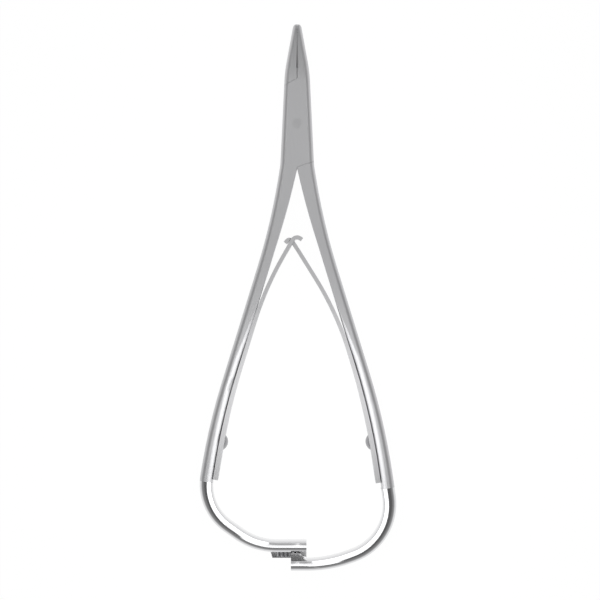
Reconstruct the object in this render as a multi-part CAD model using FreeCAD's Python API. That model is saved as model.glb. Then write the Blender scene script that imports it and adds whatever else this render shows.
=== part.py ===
"""Surgical needle holder with a box lock, palm bows, a ratchet and two hooked leaf springs.

The instrument lies flat. The origin is on the pivot's axis, at the rear face.
+X is to the right, +Y towards the jaw tips and +Z towards the viewer. Millimetres and degrees.
The box half is the forging with the two cheeks: right jaw, left shank, left bow and rack.
The tongue half passes through it: left jaw, right shank, right bow and pawl.
"""
import FreeCAD, Part
import os
from math import cos, hypot, radians, sin, sqrt, tan

Vector = FreeCAD.Vector

# Depths along Z
box_depth = 5.6
tip_depth = 2.7
cheek_thickness = 1.75
cheek_play = 0.05

# Head outline, seen from the front
tip_y = 25.5
nose_radius = 0.9
jaw_taper = 10.2
shoulder_y = 13.3
shoulder_radius = 39.5
box_half_width = 3.8
flank_flare = 2.75
outer_round = 1.25

# Shanks, from the box down to the palm
neck_y = -10.6
neck_radius = 12.0
neck_heading = 9.2
neck_bend_y = -25.5
neck_bend_radius = 170.0
shank_heading = 17.16
shank_width = 2.95
crotch_y = -11.2
crotch_heading = 12.6
crotch_bend_radius = 180.0
crown_start_y = -45.0
crown_start_round = 0.05
crown_full_y = -61.0
palm_y = -76.6
palm_width = 3.3

# Jaws seen from the side: they taper from here to the tip
jaw_root_y = 12.0
jaw_root_radius = 25.0

# Palm bows: the left one ends in the upper bar, the right one in the lower bar
bow_width = 3.45
slope_width = 3.1
bar_width = 2.85
palm_round = 1.5
bar_drop = 1.9
left_bow = {
    "palm_heading": 9.6, "palm_radius": 160.0, "polish_y": -91.2, "slope_angle": 35.0,
    "bow_radius": 14.8, "bar_y": -109.5, "bend_x": 11.2, "bend_radius": 18.0, "bar_reach": 2.36,
}
right_bow = {
    "palm_heading": 8.3, "palm_radius": 180.0, "polish_y": -92.9, "slope_angle": 20.0,
    "bow_radius": 15.6, "bar_y": left_bow["bar_y"] - bar_drop - bar_width, "bend_x": 8.6,
    "bend_radius": 34.0, "bar_reach": 1.6,
}

# Box lock
opening_angle = 18.0
upper_shoulder_y = 11.43
upper_shoulder_fall = 29.4
lower_shoulder_radius = 10.6
lower_shoulder_x = 2.2
shoulder_gap = 0.05
shoulder_setback = 0.1
tongue_tilt = 9.8
tongue_half_width = 1.9
tongue_eye_radius = 2.6
window_play = 0.05
pin_radius = 1.25
pin_running_gap = 0.03

# Jaw faces
touch_y = 22.5
touch_gap = 0.01
grip_end_y = 14.0
grip_gap = 0.02
bevel_width = 0.26
bevel_depth = 0.55
relief_bevel = 0.12
tooth_pitch = 0.77
tooth_depth = 0.14
tooth_shift = 7
tooth_margin = 1.3

# Ratchet
rack_start_x = -6.85
rack_lead = 0.5
rack_height = 1.7
rack_depth = 2.1
rack_lip = 0.22
ratchet_pitch = 1.02
ratchet_gullets = 6
first_gullet_x = -5.1
gullet_depth = 0.7
gullet_width = 0.8
ratchet_play = 0.1
pawl_gap = 0.15
pawl_top_width = 2.1
pawl_foot_width = 4.05
pawl_hollow = 0.35
pawl_setback = 0.5
ratchet_root = 0.9

# Leaf springs
leaf_depth = 4.4
foot_thickness = 1.3
leaf_thickness = 1.0
seat_gap = 0.02
left_leaf = {
    "foot_gap": 0.3, "leave_y": -42.0, "heading": 29.5, "bend_radius": 83.0, "hook_y": -28.41,
    "hook_fall": 37.0, "hook_length": 2.05, "hook_radius": 1.41,
}
right_leaf = {
    "foot_gap": 1.2, "leave_y": -48.0, "heading": 32.0, "bend_radius": 80.0, "hook_y": -29.1,
    "hook_fall": 49.0, "hook_length": 1.85, "hook_radius": 0.85,
}
slot_depth = 2.6
neck_depth = 2.2
crossing_gap = 0.12
slot_run = 2.0
crossing_reach = 4.0

# Spring rivets
rivet_y = -81.4
rivet_radius = 1.0
rivet_head_radius = 1.9
rivet_head_height = 0.9

mid_z = box_depth / 2
beyond = 1.0
least_length = 0.001
on_path = 0.0001
far = 200.0
right_angle = 90
half_turn = 180
pivot = Vector(0, 0, 0)
centre_point = Vector(0, 0, mid_z)
across = Vector(1, 0, 0)
upward = Vector(0, 1, 0)
forward = Vector(0, 0, 1)


# Lines, arcs and faces in plan

def plan(x, y):
    return Vector(x, y, 0)


def ray(point, heading):
    """A line that runs down, turned outwards from the middle plane by its heading."""
    angle = radians(heading)
    return point, plan(sin(angle), -cos(angle))


def inward(line, distance):
    """The same line moved towards the middle plane, square to itself."""
    point, run = line
    return point + plan(run.y, -run.x) * distance, run


def meet(first, second):
    """The point where two lines cross."""
    (p, u), (q, v) = first, second
    share = ((q.x - p.x) * v.y - (q.y - p.y) * v.x) / (u.x * v.y - u.y * v.x)
    return p + u * share


def at_height(line, y):
    point, run = line
    return point + run * ((y - point.y) / run.y)


def rounded(corners):
    """Edges of an open path through (corner, radius) pairs, with a tangent arc at each radius."""
    edges = []
    last = corners[0][0]
    for index in range(1, len(corners) - 1):
        corner, radius = corners[index]
        before = (corners[index - 1][0] - corner).normalize()
        after = (corners[index + 1][0] - corner).normalize()
        if radius > 0:
            half = before.getAngle(after) / 2
            reach = radius / tan(half)
            middle = corner + (before + after).normalize() * (radius / sin(half) - radius)
            edges.append(Part.makeLine(last, corner + before * reach))
            edges.append(Part.Arc(corner + before * reach, middle, corner + after * reach).toShape())
            last = corner + after * reach
        else:
            edges.append(Part.makeLine(last, corner))
            last = corner
    edges.append(Part.makeLine(last, corners[-1][0]))
    return edges


def chain(points):
    """Straight edges from point to point."""
    return [Part.makeLine(points[index], points[index + 1]) for index in range(len(points) - 1)]


def face_of(edges):
    return Part.Face(Part.Wire(Part.__sortEdges__(edges)))


def polygon(points):
    return Part.Face(Part.makePolygon(points + [points[0]]))


def rectangle(x_low, x_high, y_low, y_high):
    return polygon([plan(x_low, y_low), plan(x_high, y_low), plan(x_high, y_high), plan(x_low, y_high)])


def strip(line, inner, outer, length):
    """A straight band about a line's point, between two offsets towards and away from the middle."""
    point, run = line
    side = plan(run.y, -run.x)
    ends = [point - run * length, point + run * length]
    return polygon([
        ends[0] + side * inner, ends[1] + side * inner, ends[1] - side * outer, ends[0] - side * outer])


def below(line, y):
    """All that lies below a cut square across the line at a height."""
    cut = at_height(line, y)
    return strip((cut + line[1] * far, line[1]), far, far, far)


def disc(radius):
    return Part.Face(Part.Wire(Part.makeCircle(radius, pivot)))


def slab(face, low, high):
    """A face in plan raised from z = low to z = high."""
    return face.translated(Vector(0, 0, low)).extrude(Vector(0, 0, high - low))


def mirrored(shape):
    return shape.mirror(pivot, across)


def mirrored_line(line):
    point, run = line
    return plan(-point.x, point.y), plan(-run.x, run.y)


def solid_of(shape):
    """The one solid of a finished piece, with its split faces joined."""
    return shape.removeSplitter().Solids[0]


# The outline of one side, drawn with the middle plane at zero and outwards positive

flank = ray(plan(box_half_width, 0), flank_flare)
shoulder = at_height(flank, shoulder_y)
jaw_line = ray(shoulder, jaw_taper)
neck = at_height(flank, neck_y)
neck_bend = at_height(ray(neck, neck_heading), neck_bend_y)
shank_line = ray(neck_bend, shank_heading)
palm_bend = at_height(shank_line, palm_y)
crotch_line = ray(plan(0, crotch_y), crotch_heading)
inner_shank = inward(shank_line, shank_width)


def outer_edges(bow):
    """The outer edge, from the jaw tip down to the end of the bar."""
    palm = ray(palm_bend, bow["palm_heading"])
    bend = plan(bow["bend_x"], bow["bar_y"])
    slope = ray(bend, bow["slope_angle"] - right_angle)
    return rounded([
        (at_height(jaw_line, tip_y), 0),
        (shoulder, shoulder_radius),
        (neck, neck_radius),
        (neck_bend, neck_bend_radius),
        (palm_bend, bow["palm_radius"]),
        (meet(palm, slope), bow["bow_radius"]),
        (bend, bow["bend_radius"]),
        (plan(-bow["bar_reach"], bow["bar_y"]), 0),
    ])


def inner_edges(bow, widths):
    """The inner edge, from the end of the bar up to the crotch, for widths at palm, slope and bar."""
    palm_w, slope_w, bar_w = widths
    palm = inward(ray(palm_bend, bow["palm_heading"]), palm_w)
    bend = plan(bow["bend_x"], bow["bar_y"])
    slope = inward(ray(bend, bow["slope_angle"] - right_angle), slope_w)
    bar = inward(ray(bend, -right_angle), bar_w)
    return rounded([
        (plan(-bow["bar_reach"], bar[0].y), 0),
        (meet(slope, bar), bow["bend_radius"] - slope_w),
        (meet(palm, slope), bow["bow_radius"] - palm_w),
        (meet(inner_shank, palm), bow["palm_radius"]),
        (meet(crotch_line, inner_shank), crotch_bend_radius),
        (crotch_line[0], 0),
    ])


def side_face(outer, inner):
    top = outer[0].Vertexes[0].Point
    bar_end = Part.makeLine(outer[-1].Vertexes[-1].Point, inner[0].Vertexes[0].Point)
    middle = Part.makeLine(plan(0, crotch_y), plan(0, tip_y))
    tip_end = Part.makeLine(plan(0, tip_y), top)
    return face_of(outer + [bar_end] + inner + [middle, tip_end])


def front_z(y):
    """The height of the front face, which slopes down from the jaws' root to the tip."""
    taper = (box_depth - tip_depth) / 2 / (tip_y - jaw_root_y)
    return box_depth - taper * max(0.0, y - jaw_root_y)


def depth_profile():
    """The outline seen from the side, as a solid that runs right across the instrument."""
    top_y = tip_y + beyond
    top = Vector(0, top_y, front_z(top_y))
    low = Vector(0, -far, box_depth)
    front = rounded([(top, 0), (Vector(0, jaw_root_y, box_depth), jaw_root_radius), (low, 0)])
    rear = [edge.mirror(centre_point, forward) for edge in front]
    ends = chain([low, low - forward * box_depth]) + chain([top, Vector(0, top_y, box_depth - top.z)])
    return face_of(front + rear + ends).translated(across * -far).extrude(across * 2 * far)


def tip_trim():
    """What is cut off to round the tip, seen from the front and from the side."""
    lean = radians(jaw_taper)
    radius = at_height(jaw_line, tip_y).x * cos(lean) / (1 - sin(lean))
    centre = plan(0, tip_y - radius)
    above = rectangle(-box_half_width, box_half_width, centre.y + radius * sin(lean), tip_y + beyond)
    sides = slab(above.cut(disc(radius).translated(centre)), -beyond, box_depth + beyond)
    tip_half = tip_depth / 2
    start, corner = Vector(0, tip_y, 0), Vector(0, tip_y, tip_half)
    end_y = tip_y - tip_depth
    end = Vector(0, end_y, front_z(end_y) - mid_z)
    outside = [
        end, Vector(0, end.y, box_depth), Vector(0, tip_y + beyond, box_depth),
        Vector(0, tip_y + beyond, 0), start]
    nose = face_of(rounded([(start, 0), (corner, nose_radius), (end, 0)]) + chain(outside))
    front = nose.translated(Vector(-far, 0, mid_z)).extrude(across * 2 * far)
    return [sides, front, front.mirror(centre_point, forward)]


def edges_along(solid, path):
    """The front and rear edges of a solid that follow a path in plan."""
    wire = Part.Wire(path)
    found = []
    for edge in solid.Edges:
        box = edge.BoundBox
        middle = edge.valueAt((edge.FirstParameter + edge.LastParameter) / 2)
        level = hypot(box.XLength, box.YLength) > least_length
        if level and wire.distToShape(Part.Vertex(middle.x, middle.y, 0))[0] < on_path:
            found.append(edge)
    return found


def crown():
    """What is cut off the shank's inner edges, front and rear: their round grows on the way down."""
    run = inner_shank[1]
    out = plan(-run.y, run.x)
    rows = []
    for y, radius in ((crown_start_y, crown_start_round), (crown_full_y, palm_round)):
        corner = at_height(inner_shank, y) + forward * box_depth
        rows.append([corner + out * radius, corner, corner - forward * radius])
    weights = [1, sqrt(0.5), 1]
    surface = Part.BSplineSurface()
    surface.buildFromPolesMultsKnots(
        rows, [2, 2], [3, 3], [0, 1], [0, 1], False, False, 1, 2, [weights, weights])
    fronts, corners, sides = zip(*rows)
    faces = [surface.toShape()]
    for start, end in ((fronts, corners), (sides, corners)):
        faces.append(polygon([start[0], end[0], end[1], start[1]]))
    for place, (on_front, corner, on_side) in enumerate(rows):
        faces.append(face_of([surface.uIso(place).toShape()] + chain([on_side, corner, on_front])))
    front = Part.Solid(Part.Shell(faces))
    return [front, front.mirror(centre_point, forward)]


def forged_side(bow, profile, trims):
    """The satin length and the polished bow of one side, with their edges rounded."""
    outer = outer_edges(bow)
    inner = inner_edges(bow, (palm_width, palm_width, palm_width))
    polished_inner = inner_edges(bow, (bow_width, slope_width, bar_width))
    polished = below(ray(palm_bend, bow["palm_heading"]), bow["polish_y"])
    shank_on = below(inner_shank, crown_start_y)
    palm_on = below(inner_shank, crown_full_y)
    blank = side_face(outer, inner)
    lengths = []
    faces = [blank.cut(shank_on), blank.common(shank_on).cut(palm_on), blank.common(palm_on).cut(polished)]
    for face in faces:
        length = slab(face, -beyond, box_depth + beyond).common(profile)
        lengths.append(length.makeFillet(outer_round, edges_along(length, outer)))
    head, shank, foot = lengths
    shank = shank.cut(crown())
    foot = foot.makeFillet(palm_round, edges_along(foot, inner))
    for trim in trims:
        head = head.cut(trim)
    bar = slab(side_face(outer, polished_inner).common(polished), 0, box_depth)
    bar = bar.makeFillet(outer_round, edges_along(bar, outer))
    bar = bar.makeFillet(palm_round, edges_along(bar, polished_inner))
    return head.fuse([shank, foot]), bar


# Box lock

def upper_shoulder(gap):
    """The plan region of the left jaw, above the oblique line across the left cheek."""
    fall = radians(upper_shoulder_fall)
    start = plan(0, upper_shoulder_y + gap / cos(fall))
    return polygon([start, start + plan(-cos(fall), -sin(fall)) * far, plan(-far, far), plan(0, far)])


def lower_shoulder(gap):
    """The plan region of the right shank: below a line from the crotch and an arc about the pivot."""
    radius = lower_shoulder_radius + gap
    crotch = plan(0, crotch_y - gap)
    start = plan(lower_shoulder_x, -sqrt(radius ** 2 - lower_shoulder_x ** 2))
    end_x = (lower_shoulder_x + radius) / 2
    middle_x = (lower_shoulder_x + end_x) / 2
    end = plan(end_x, -sqrt(radius ** 2 - end_x ** 2))
    halfway = plan(middle_x, -sqrt(radius ** 2 - middle_x ** 2))
    corners = [end, plan(far, -radius), plan(far, -far), plan(0, -far), crotch, start]
    return face_of([Part.Arc(start, halfway, end).toShape()] + chain(corners))


def band_line(turn):
    """The right edge of the tongue's straight band after it has turned, clear of the window's wall."""
    angle = radians(tongue_tilt + turn)
    out = plan(cos(angle), sin(angle))
    return out * (tongue_half_width + window_play), plan(sin(angle), -cos(angle))


def window_block():
    """The wall between the cheeks on the right of the tongue, which it meets when fully open."""
    closed, opened = band_line(0), band_line(opening_angle)
    apex = meet(closed, opened)
    block = polygon([apex, apex - closed[1] * far, plan(far, far), apex + opened[1] * far])
    return block.cut(disc(tongue_eye_radius + window_play))


def window(blocks):
    """The slot between the cheeks that the tongue turns in."""
    reach = box_half_width + neck_radius
    face = rectangle(-reach, reach, crotch_y - beyond, upper_shoulder_y + beyond)
    for block in blocks:
        face = face.cut(block)
    return slab(face, cheek_thickness, box_depth - cheek_thickness)


def tongue(head):
    """The flat tongue that joins the left jaw to the right shank between the cheeks."""
    block_tip = meet(band_line(opening_angle), flank)
    swept = disc(block_tip.Length + window_play)
    upper_left = rectangle(-far, -shoulder_setback, 0, far).cut(swept)
    tilt = radians(tongue_tilt)
    band = strip((pivot, plan(sin(tilt), -cos(tilt))), tongue_half_width, tongue_half_width, far)
    low = cheek_thickness + cheek_play
    high = box_depth - low
    pieces = [band, disc(tongue_eye_radius), upper_left, upper_left.rotated(pivot, forward, half_turn)]
    solids = [slab(piece, low, high) for piece in pieces]
    whole = solids[0].fuse(solids[1:])
    limits = slab(rectangle(-far, far, crotch_y - 2 * beyond, upper_shoulder_y + beyond), low, high)
    return whole.common(head).common(limits)


def bore(radius):
    return Part.makeCylinder(radius, box_depth + 2 * beyond, Vector(0, 0, -beyond))


# Jaw faces

def bevel(low, low_width, high, high_width):
    """The vee between the jaws' front edges from one height to another, as wide as given at its ends."""
    ends = []
    for y, width in ((low, low_width), (high, high_width)):
        top = front_z(y)
        depth = bevel_depth * width / bevel_width
        edge = Vector(2 * width, y, top + depth)
        bottom = Vector(0, y, top - depth)
        ends.append(Part.makePolygon([bottom, edge, Vector(-edge.x, y, edge.z), bottom]))
    return Part.makeLoft(ends, True, True)


def jaw_gap():
    """The slit between the jaws: closed at the tip and hardly open behind it, with bevelled edges."""
    right = [
        plan(touch_gap, tip_y + beyond), plan(touch_gap, touch_y), plan(grip_gap, grip_end_y),
        plan(grip_gap, upper_shoulder_y),
    ]
    left = [plan(-point.x, point.y) for point in reversed(right)]
    slit = slab(polygon(right + left), -beyond, box_depth + beyond)
    front = [
        bevel(grip_end_y, bevel_width, touch_y, touch_gap),
        bevel(upper_shoulder_y, relief_bevel, grip_end_y, relief_bevel)]
    rear = [vee.mirror(centre_point, forward) for vee in front]
    return [slit] + front + rear


def tooth_grooves():
    """The slanting vee grooves of the right jaw's gripping face."""
    slant = Vector(0, tooth_shift * tooth_pitch, box_depth)
    zone = slab(rectangle(-beyond, beyond, grip_end_y, tip_y - tooth_margin), 0, box_depth)
    count = int((tip_y - tooth_margin - grip_end_y) / tooth_pitch + tooth_shift)
    grooves = []
    for index in range(count):
        y = grip_end_y + tooth_pitch * (index + 0.5) - slant.y
        vee = polygon([
            plan(tooth_depth, y), plan(-tooth_depth, y - tooth_pitch), plan(-tooth_depth, y + tooth_pitch)])
        grooves.append(vee.extrude(slant).common(zone))
    return grooves


# Ratchet

def gullets(y_low, y_high, reverse):
    """Saw-tooth grooves across the ratchet's meeting faces, in the rack or facing them in the pawl."""
    cuts = []
    base_z = mid_z + ratchet_play if reverse else mid_z
    depth = gullet_depth if reverse else -gullet_depth
    for index in range(ratchet_gullets):
        start = first_gullet_x + index * ratchet_pitch
        steep = start if reverse else start + gullet_width
        corners = [(start, base_z), (steep, base_z + depth), (start + gullet_width, base_z)]
        face = polygon([Vector(x, y_low, z) for x, z in corners])
        cuts.append(face.extrude(Vector(0, y_high - y_low, 0)))
    return cuts


def rack():
    """The toothed plate under the left bar."""
    bar_y = left_bow["bar_y"]
    low_y = bar_y - rack_height
    end_x = left_bow["bar_reach"]
    outline = polygon([
        plan(rack_start_x, bar_y + ratchet_root), plan(rack_start_x, bar_y),
        plan(rack_start_x + rack_lead, low_y), plan(end_x, low_y), plan(end_x, bar_y + ratchet_root)])
    plate = slab(outline, mid_z - rack_depth, mid_z)
    return plate.cut(gullets(low_y + rack_lip, bar_y, False))


def pawl():
    """The toothed block that stands on the right bar, in front of the rack."""
    foot_y = right_bow["bar_y"] + bar_width
    top_y = left_bow["bar_y"] - pawl_gap
    left_x = -right_bow["bar_reach"]
    top_end = plan(left_x + pawl_top_width, top_y)
    foot_end = plan(left_x + pawl_foot_width, foot_y)
    chord = foot_end - top_end
    hollow = top_end + chord * 0.5 + plan(chord.y, -chord.x).normalize() * pawl_hollow
    corners = [
        foot_end, foot_end - plan(0, ratchet_root), plan(left_x, foot_y - ratchet_root),
        plan(left_x, top_y), top_end]
    outline = face_of([Part.Arc(top_end, hollow, foot_end).toShape()] + chain(corners))
    block = slab(outline, mid_z + ratchet_play, box_depth - pawl_setback)
    return block.cut(gullets(foot_y, top_y + beyond, True))


# Leaf springs

def leaf_lines(leaf):
    """The centre lines of the leaf's free arm and of its hooked end."""
    seat = inward(inner_shank, seat_gap)
    arm = inward(ray(at_height(seat, leaf["leave_y"]), leaf["heading"]), leaf_thickness / 2)
    hook = ray(at_height(arm, leaf["hook_y"]), leaf["hook_fall"] - right_angle)
    return arm, hook


def leaf_blank(bow, leaf):
    """A leaf that lies on the inner side of its shank, leaves it and ends in a hook."""
    palm = inward(ray(palm_bend, bow["palm_heading"]), palm_width)
    arm, hook = leaf_lines(leaf)
    half = leaf_thickness / 2
    tip = hook[0] + hook[1] * leaf["hook_length"]
    up = inward((tip, hook[1]), half)[0] - tip
    seat_palm, seat_shank = inward(palm, seat_gap), inward(inner_shank, seat_gap)
    free_palm = inward(seat_palm, foot_thickness)
    free_shank = inward(seat_shank, leaf_thickness)
    end = at_height(seat_palm, left_bow["bar_y"])
    seat_side = [
        (end, 0),
        (meet(seat_palm, seat_shank), bow["palm_radius"] - seat_gap),
        (meet(seat_shank, inward(arm, -half)), leaf["bend_radius"] + half),
        (meet(inward(arm, -half), inward(hook, half)), leaf["hook_radius"] + half),
        (tip + up, 0),
    ]
    free_side = [
        (tip - up, 0),
        (meet(inward(arm, half), inward(hook, -half)), leaf["hook_radius"] - half),
        (meet(free_shank, inward(arm, half)), leaf["bend_radius"] - half),
        (meet(free_palm, free_shank), bow["palm_radius"] - seat_gap - foot_thickness),
        (inward((end, palm[1]), foot_thickness)[0], 0),
    ]
    outline = rounded(seat_side) + [Part.makeLine(tip + up, tip - up)] + rounded(free_side)
    outline.append(Part.makeLine(free_side[-1][0], end))
    face = face_of(outline).cut(below(palm, bow["polish_y"] + leaf["foot_gap"]))
    return slab(face, mid_z - leaf_depth / 2, mid_z + leaf_depth / 2)


def hooked_leaves():
    """The two leaves: the left one has a slot near its hook, which the right one's neck passes."""
    left = mirrored(leaf_blank(left_bow, left_leaf))
    right = leaf_blank(right_bow, right_leaf)
    left_arm = mirrored_line(leaf_lines(left_leaf)[0])
    right_arm = leaf_lines(right_leaf)[0]
    crossing = meet(left_arm, right_arm)
    near = leaf_thickness / 2 + crossing_gap
    slot_face = strip((crossing, right_arm[1]), near + slot_run, near, crossing_reach)
    slot = slab(slot_face, mid_z - slot_depth / 2, mid_z + slot_depth / 2)
    neck_face = strip((crossing, left_arm[1]), near, near + slot_run, crossing_reach)
    notches = [
        slab(neck_face, -beyond, mid_z - neck_depth / 2),
        slab(neck_face, mid_z + neck_depth / 2, box_depth + beyond),
    ]
    return left.cut(slot), right.cut(notches)


# Rivets that hold the leaves

def rivet(bow, leaf, shank):
    """A domed rivet through leaf and shank, ground flush outside, with the hole that it fills."""
    radius = bow["palm_radius"]
    inner_palm = inward(ray(palm_bend, bow["palm_heading"]), palm_width)
    centre = meet(inward(inner_shank, radius), inward(inner_palm, radius))
    seat = plan(centre.x + sqrt(radius ** 2 - (rivet_y - centre.y) ** 2), rivet_y)
    out = (seat - centre).normalize()
    seat = Vector(seat.x, seat.y, mid_z)
    base = seat - out * (seat_gap + foot_thickness)
    hole = Part.makeCylinder(rivet_radius, far, base, out)
    ball_radius = (rivet_head_radius ** 2 + rivet_head_height ** 2) / (2 * rivet_head_height)
    ball = Part.makeSphere(ball_radius, base + out * (ball_radius - rivet_head_height))
    root = foot_thickness / 2
    head = Part.makeCylinder(
        rivet_head_radius, root + rivet_head_height, base - out * rivet_head_height, out)
    head = head.common(ball).cut(leaf)
    neck_part = Part.makeCylinder(rivet_radius, root + foot_thickness + seat_gap, base, out)
    return head.fuse([neck_part, hole.common(shank)]), hole


def build():
    """Every piece of the instrument, by name."""
    profile = depth_profile()
    trims = tip_trim()
    right_satin, right_bar = forged_side(right_bow, profile, trims)
    left_satin, left_bar = forged_side(left_bow, profile, trims)
    left_rivet, left_hole = rivet(left_bow, leaf_blank(left_bow, left_leaf), left_satin)
    right_rivet, right_hole = rivet(right_bow, leaf_blank(right_bow, right_leaf), right_satin)
    left_satin, left_bar = mirrored(left_satin), mirrored(left_bar)
    left_rivet, left_hole = mirrored(left_rivet), mirrored(left_hole)
    left_leaf_solid, right_leaf_solid = hooked_leaves()

    low, high = -beyond, box_depth + beyond
    right_block = window_block()
    left_block = right_block.rotated(pivot, forward, half_turn)
    gap = jaw_gap()
    teeth = tooth_grooves()

    right_cheek = right_satin.cut(slab(lower_shoulder(0), low, high))
    left_cheek = left_satin.cut(slab(upper_shoulder(0), low, high))
    box_half = right_cheek.fuse([left_cheek, left_bar, rack()])
    box_half = box_half.cut([window([right_block, left_block]), bore(pin_radius), left_hole] + gap + teeth)

    left_jaw = left_satin.common(slab(upper_shoulder(shoulder_gap), low, high))
    right_shank = right_satin.common(slab(lower_shoulder(shoulder_gap), low, high))
    head = right_satin.fuse(left_satin)
    tongue_half = left_jaw.fuse([tongue(head), right_shank, right_bar, pawl()])
    left_teeth = [groove.rotated(centre_point, upward, half_turn) for groove in teeth]
    tongue_half = tongue_half.cut([bore(pin_radius + pin_running_gap), right_hole] + gap + left_teeth)

    return {
        "box_half": box_half,
        "tongue_half": tongue_half,
        "pivot_pin": Part.makeCylinder(pin_radius, box_depth),
        "left_leaf_spring": left_leaf_solid.cut(left_hole),
        "right_leaf_spring": right_leaf_solid.cut(right_hole),
        "left_spring_rivet": left_rivet,
        "right_spring_rivet": right_rivet,
    }


os.makedirs("parts", exist_ok=True)
for name, shape in build().items():
    piece = solid_of(shape)
    piece.exportStep("parts/" + name + ".step")
    print(name, "solids", len(shape.Solids), "volume", round(piece.Volume, 2), "valid", piece.isValid())
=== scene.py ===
import bpy
from math import cos, pi, radians, sin
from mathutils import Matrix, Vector


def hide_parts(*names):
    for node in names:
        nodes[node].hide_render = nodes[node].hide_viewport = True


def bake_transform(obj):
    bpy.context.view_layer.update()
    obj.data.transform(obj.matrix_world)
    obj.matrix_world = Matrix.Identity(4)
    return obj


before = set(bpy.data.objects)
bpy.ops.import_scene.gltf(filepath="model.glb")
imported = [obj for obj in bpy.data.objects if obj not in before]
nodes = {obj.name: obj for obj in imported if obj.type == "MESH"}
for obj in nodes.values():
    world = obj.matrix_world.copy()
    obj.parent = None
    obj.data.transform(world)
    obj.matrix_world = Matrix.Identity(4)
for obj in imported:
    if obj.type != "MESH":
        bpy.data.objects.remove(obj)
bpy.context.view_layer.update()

scene = bpy.context.scene
mm = 0.001

# Where the mirror polish of each bow begins: a point on the cut and the palm's heading

polish_cuts = {
    "box_half": (-24.97, -91.2, -9.6),
    "tongue_half": (24.88, -92.9, 8.3),
}

# Camera, set up for the photograph's square frame

photo_width = 153.85 * mm
lens = 105.0
sensor = 36.0
view_centre = Vector((0.72, -45.1, 2.8)) * mm
camera_near = 0.01
camera_far = 20.0

# Steels: colour, roughness and how far the grain spreads the roughness

satin = (0.61, 0.61, 0.62)
satin_finish = (0.45, 0.06)
pin_finish = (0.33, 0.05)
spring_colour = (0.66, 0.66, 0.67)
spring_finish = (0.34, 0.05)
rivet_colour = (0.34, 0.34, 0.35)
rivet_finish = (0.2, 0.03)
mirror = (0.72, 0.72, 0.73)
mirror_roughness = 0.07

# Grain: a fine and a broad noise, the tone that the broad one gives and the bump of the fine one

fine_grain = {"Scale": 9000.0, "Detail": 3.0, "Roughness": 0.6}
broad_grain = {"Scale": 160.0, "Detail": 4.0, "Roughness": 0.55}
tone_spread = 0.06
tone_low = 0.97
grain_bump = 0.02
grain_height = 0.02 * mm

# White table, and the share of its glow that the camera and the reflections see

floor_size = 6.0
floor_drop = 0.02 * mm
floor_colour = (0.9, 0.9, 0.9, 1.0)
floor_glow = 1.03
glow_share = 0.95
white = (1.0, 1.0, 1.0, 1.0)

# Room light against the angle from straight up, as a share of half a turn

sky = [(0.0, 0.12), (0.06, 0.14), (0.12, 0.24), (0.25, 0.3), (0.36, 0.5), (0.5, 1.0)]

# Overhead panels, in millimetres: centre in X and Y, size along X and Y, and then the brightness

panel_height = 90
overhead_panels = [
    ("left_bar_panel", -7, -109.2, 20, 24.4, 1.5),
    ("right_bar_panel", 8, -112.2, 10, 30.4, 1.5),
    ("palm_panel", 0, -78.5, 64, 37, 1.05),
    ("waist_panel", 0, -40, 64, 40, 0.5),
    ("left_jaw_panel", -22, 15, 20, 70, 1.4),
    ("right_jaw_panel", 22, 15, 20, 70, 1.4),
]

# Two upright panels between the handles, back to back and in millimetres, one facing each handle

upright_centre = (0, -80, 40)
upright_height = 60
upright_length = 48
upright_brightness = 1.6


# Node helpers

def node(tree, kind, **values):
    made = tree.nodes.new(kind)
    for name, value in values.items():
        if name in made.inputs:
            made.inputs[name].default_value = value
        else:
            setattr(made, name, value)
    return made


def link(tree, source, target):
    tree.links.new(source, target)


def math_node(tree, operation, first, second=None, third=None):
    made = tree.nodes.new("ShaderNodeMath")
    made.operation = operation
    for index, value in enumerate((first, second, third)):
        if value is None:
            continue
        if isinstance(value, (int, float)):
            made.inputs[index].default_value = value
        else:
            link(tree, value, made.inputs[index])
    return made.outputs[0]


def ramp(tree, value, stops):
    made = tree.nodes.new("ShaderNodeValToRGB")
    link(tree, value, made.inputs[0])
    elements = made.color_ramp.elements
    while len(elements) > 1:
        elements.remove(elements[-1])
    for index, (place, level) in enumerate(stops):
        element = elements[0] if index == 0 else elements.new(place)
        element.position = place
        element.color = (level, level, level, 1.0)
    return made.outputs[0]


def new_material(name):
    made = bpy.data.materials.new(name)
    made.use_nodes = True
    tree = made.node_tree
    tree.nodes.clear()
    shader = tree.nodes.new("ShaderNodeBsdfPrincipled")
    out = tree.nodes.new("ShaderNodeOutputMaterial")
    link(tree, shader.outputs[0], out.inputs[0])
    shader.inputs["Metallic"].default_value = 1.0
    return made, tree, shader


# Steel

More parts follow.
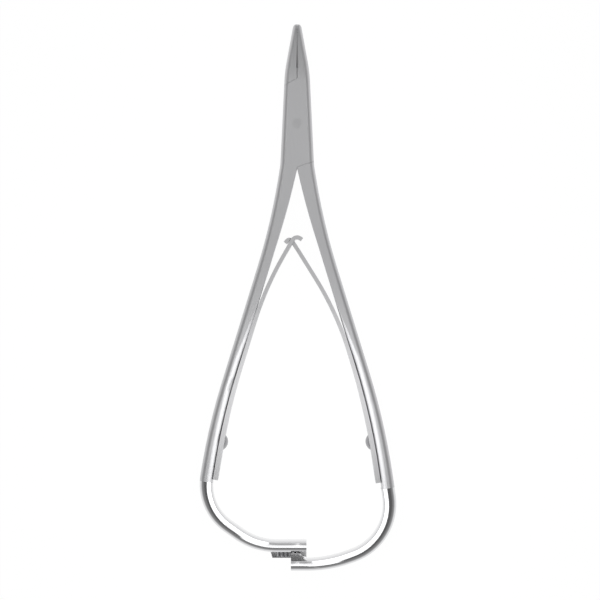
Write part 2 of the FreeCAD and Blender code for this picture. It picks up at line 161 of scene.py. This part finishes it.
def steel(name, colour, finish, cut=None):
    """Steel with a fine grain. Below the cut the same piece is polished to a mirror."""
    roughness, grain = finish
    made, tree, shader = new_material(name)
    place = tree.nodes.new("ShaderNodeTexCoord").outputs["Object"]
    fine = node(tree, "ShaderNodeTexNoise", **fine_grain)
    broad = node(tree, "ShaderNodeTexNoise", **broad_grain)
    link(tree, place, fine.inputs["Vector"])
    link(tree, place, broad.inputs["Vector"])
    satin_rough = math_node(tree, "MULTIPLY_ADD", fine.outputs[0], grain, roughness - grain / 2)
    satin_rough = math_node(tree, "MULTIPLY_ADD", broad.outputs[0], grain, satin_rough)
    satin_rough = math_node(tree, "SUBTRACT", satin_rough, grain / 2)
    tone = math_node(tree, "MULTIPLY_ADD", broad.outputs[0], tone_spread, tone_low)
    satin_colour = node(tree, "ShaderNodeMix", data_type="RGBA", blend_type="MULTIPLY")
    satin_colour.inputs["Factor"].default_value = 1.0
    satin_colour.inputs["A"].default_value = (*colour, 1.0)
    grey = tree.nodes.new("ShaderNodeCombineColor")
    for channel in grey.inputs:
        link(tree, tone, channel)
    link(tree, grey.outputs[0], satin_colour.inputs["B"])
    bump = node(tree, "ShaderNodeBump", Strength=grain_bump, Distance=grain_height)
    link(tree, fine.outputs[0], bump.inputs["Height"])
    link(tree, bump.outputs[0], shader.inputs["Normal"])
    if cut is None:
        link(tree, satin_colour.outputs["Result"], shader.inputs["Base Color"])
        link(tree, satin_rough, shader.inputs["Roughness"])
        return made
    x, y, heading = cut
    along = Vector((sin(radians(heading)), -cos(radians(heading)), 0))
    start = along.dot(Vector((x, y, 0)) * mm)
    run = node(tree, "ShaderNodeVectorMath", operation="DOT_PRODUCT")
    link(tree, place, run.inputs[0])
    run.inputs[1].default_value = along
    polished = math_node(tree, "GREATER_THAN", run.outputs["Value"], start)
    mix = node(tree, "ShaderNodeMix", data_type="RGBA")
    link(tree, polished, mix.inputs["Factor"])
    link(tree, satin_colour.outputs["Result"], mix.inputs["A"])
    mix.inputs["B"].default_value = (*mirror, 1.0)
    link(tree, mix.outputs["Result"], shader.inputs["Base Color"])
    rough = node(tree, "ShaderNodeMix", data_type="FLOAT")
    link(tree, polished, rough.inputs["Factor"])
    link(tree, satin_rough, rough.inputs["A"])
    rough.inputs["B"].default_value = mirror_roughness
    link(tree, rough.outputs["Result"], shader.inputs["Roughness"])
    calm = math_node(tree, "MULTIPLY_ADD", polished, -grain_bump, grain_bump)
    link(tree, calm, bump.inputs["Strength"])
    return made


def dress(name, surface):
    nodes[name].data.materials.clear()
    nodes[name].data.materials.append(surface)


for name in ("box_half", "tongue_half"):
    dress(name, steel(name + "_steel", satin, satin_finish, polish_cuts[name]))

pin_steel = steel("pin_steel", satin, pin_finish)
spring_steel = steel("spring_steel", spring_colour, spring_finish)
rivet_steel = steel("rivet_steel", rivet_colour, rivet_finish)
for name, surface in (
    ("pivot_pin", pin_steel), ("left_spring_rivet", rivet_steel), ("right_spring_rivet", rivet_steel),
):
    dress(name, surface)


# Springs: each leaf is copied into a new object in spring steel, and the original leaf is hidden

def bending_leaf(name):
    mesh = nodes[name].data.copy()
    mesh.materials.clear()
    mesh.materials.append(spring_steel)
    leaf = bpy.data.objects.new(name + "_bending", mesh)
    scene.collection.objects.link(leaf)
    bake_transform(leaf)
    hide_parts(name)


bending_leaf("left_leaf_spring")
bending_leaf("right_leaf_spring")


# Floor, a white table

def white_floor():
    bpy.ops.mesh.primitive_plane_add(size=floor_size, location=(0, 0, -floor_drop))
    floor = bpy.context.object
    floor.name = "table_top"
    made = bpy.data.materials.new("white_table")
    made.use_nodes = True
    tree = made.node_tree
    tree.nodes.clear()
    out = tree.nodes.new("ShaderNodeOutputMaterial")
    matt = node(tree, "ShaderNodeBsdfDiffuse", Color=floor_colour)
    glow = node(tree, "ShaderNodeEmission", Color=white, Strength=floor_glow)
    paths = tree.nodes.new("ShaderNodeLightPath")
    seen = math_node(tree, "MAXIMUM", paths.outputs["Is Camera Ray"], paths.outputs["Is Glossy Ray"])
    seen = math_node(tree, "MULTIPLY", seen, glow_share)
    mix = tree.nodes.new("ShaderNodeMixShader")
    link(tree, seen, mix.inputs[0])
    link(tree, matt.outputs[0], mix.inputs[1])
    link(tree, glow.outputs[0], mix.inputs[2])
    link(tree, mix.outputs[0], out.inputs[0])
    floor.data.materials.append(made)


white_floor()


# Light: a white room, dim overhead, and the soft panels

def studio_world():
    world = bpy.data.worlds.new("studio")
    scene.world = world
    world.use_nodes = True
    tree = world.node_tree
    tree.nodes.clear()
    out = tree.nodes.new("ShaderNodeOutputWorld")
    place = tree.nodes.new("ShaderNodeTexCoord").outputs["Generated"]
    parts = tree.nodes.new("ShaderNodeSeparateXYZ")
    link(tree, place, parts.inputs[0])
    angle = math_node(tree, "ARCCOSINE", parts.outputs["Z"])
    angle = math_node(tree, "DIVIDE", angle, pi)
    level = ramp(tree, angle, sky)
    paths = tree.nodes.new("ShaderNodeLightPath")
    mix = node(tree, "ShaderNodeMix", data_type="RGBA")
    link(tree, paths.outputs["Is Camera Ray"], mix.inputs["Factor"])
    link(tree, level, mix.inputs["A"])
    mix.inputs["B"].default_value = white
    background = tree.nodes.new("ShaderNodeBackground")
    link(tree, mix.outputs["Result"], background.inputs["Color"])
    link(tree, background.outputs[0], out.inputs[0])


def soft_panel(name, centre, width, length, brightness, turn=0):
    """A soft light panel that faces straight down, or to the left or right when turned."""
    data = bpy.data.lights.new(name, "AREA")
    data.shape = "RECTANGLE"
    data.size = width * mm
    data.size_y = length * mm
    data.energy = brightness * pi * data.size * data.size_y
    lamp = bpy.data.objects.new(name, data)
    scene.collection.objects.link(lamp)
    lamp.location = Vector(centre) * mm
    lamp.rotation_euler = (0, radians(turn), 0)
    lamp.visible_camera = False


studio_world()
for name, x, y, width, length, brightness in overhead_panels:
    soft_panel(name, (x, y, panel_height), width, length, brightness)
for name, turn in (("left_handle_panel", 90), ("right_handle_panel", -90)):
    soft_panel(name, upright_centre, upright_height, upright_length, upright_brightness, turn)


# Camera, straight above the instrument and looking down

def camera():
    data = bpy.data.cameras.new("photo_camera")
    data.lens = lens
    data.sensor_width = sensor
    made = bpy.data.objects.new("photo_camera", data)
    scene.collection.objects.link(made)
    distance = photo_width * lens / sensor
    made.location = view_centre + Vector((0, 0, distance))
    made.rotation_euler = (0, 0, 0)
    data.clip_start = camera_near
    data.clip_end = camera_far
    scene.camera = made


camera()
scene.view_settings.view_transform = "Standard"

bpy.context.view_layer.update()
